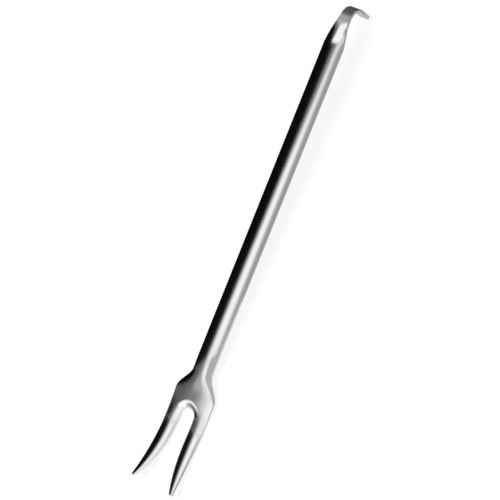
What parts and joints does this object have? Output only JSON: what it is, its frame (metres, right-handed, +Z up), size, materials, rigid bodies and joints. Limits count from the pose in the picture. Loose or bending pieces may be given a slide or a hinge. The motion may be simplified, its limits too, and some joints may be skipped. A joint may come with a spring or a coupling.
{
  "type": "roasting fork",
  "caption": "Long two-tine roasting and meat fork of polished stainless steel with an arched channel handle and a bent hanging hook.",
  "frame": {"origin": "on the table, under the middle of the fork as it lies on its hook's tongue and the back of its head", "axes": "+X along the fork towards the hook, +Y across it towards the left tine, +Z up, out of the rounded front"},
  "size_m": [0.3802, 0.0412, 0.0255],
  "materials": {
    "polished_stainless_steel": "polished, with fine polishing lines"
  },
  "bodies": {
    "root": {"hanging_hook": "polished_stainless_steel", "handle": "polished_stainless_steel", "fork_head": "polished_stainless_steel", "left_tine": "polished_stainless_steel", "right_tine": "polished_stainless_steel"}
  },
  "joints": []
}
